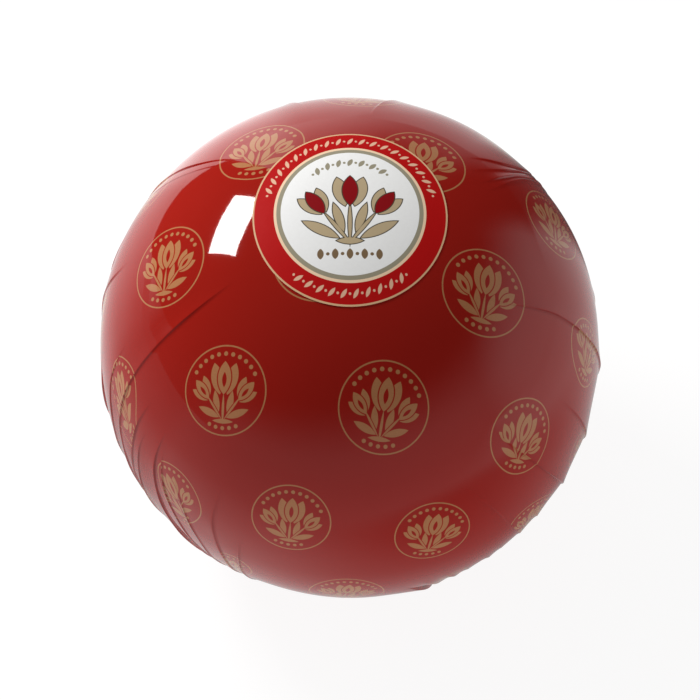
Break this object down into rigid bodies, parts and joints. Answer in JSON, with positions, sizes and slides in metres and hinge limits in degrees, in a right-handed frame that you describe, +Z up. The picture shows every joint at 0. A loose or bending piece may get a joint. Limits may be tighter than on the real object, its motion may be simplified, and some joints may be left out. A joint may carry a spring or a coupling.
{
  "type": "wrapped ball of cheese",
  "caption": "Ball of cheese in glossy red film, smooth on top and pleated down to a small flat base, with a round paper label at its crown.",
  "frame": {"origin": "middle of the flat base, where the ball stands", "axes": "+Z up through the middle of the label; -Y towards the side shown to a viewer who reads the label upright"},
  "size_m": [0.1504, 0.151, 0.1434],
  "materials": {
    "film": "glossy printed film drawn tight",
    "label_paper": "coated printed paper, slightly glossy"
  },
  "bodies": {
    "root": {"cheese_ball": "film", "label": "label_paper"}
  },
  "joints": []
}
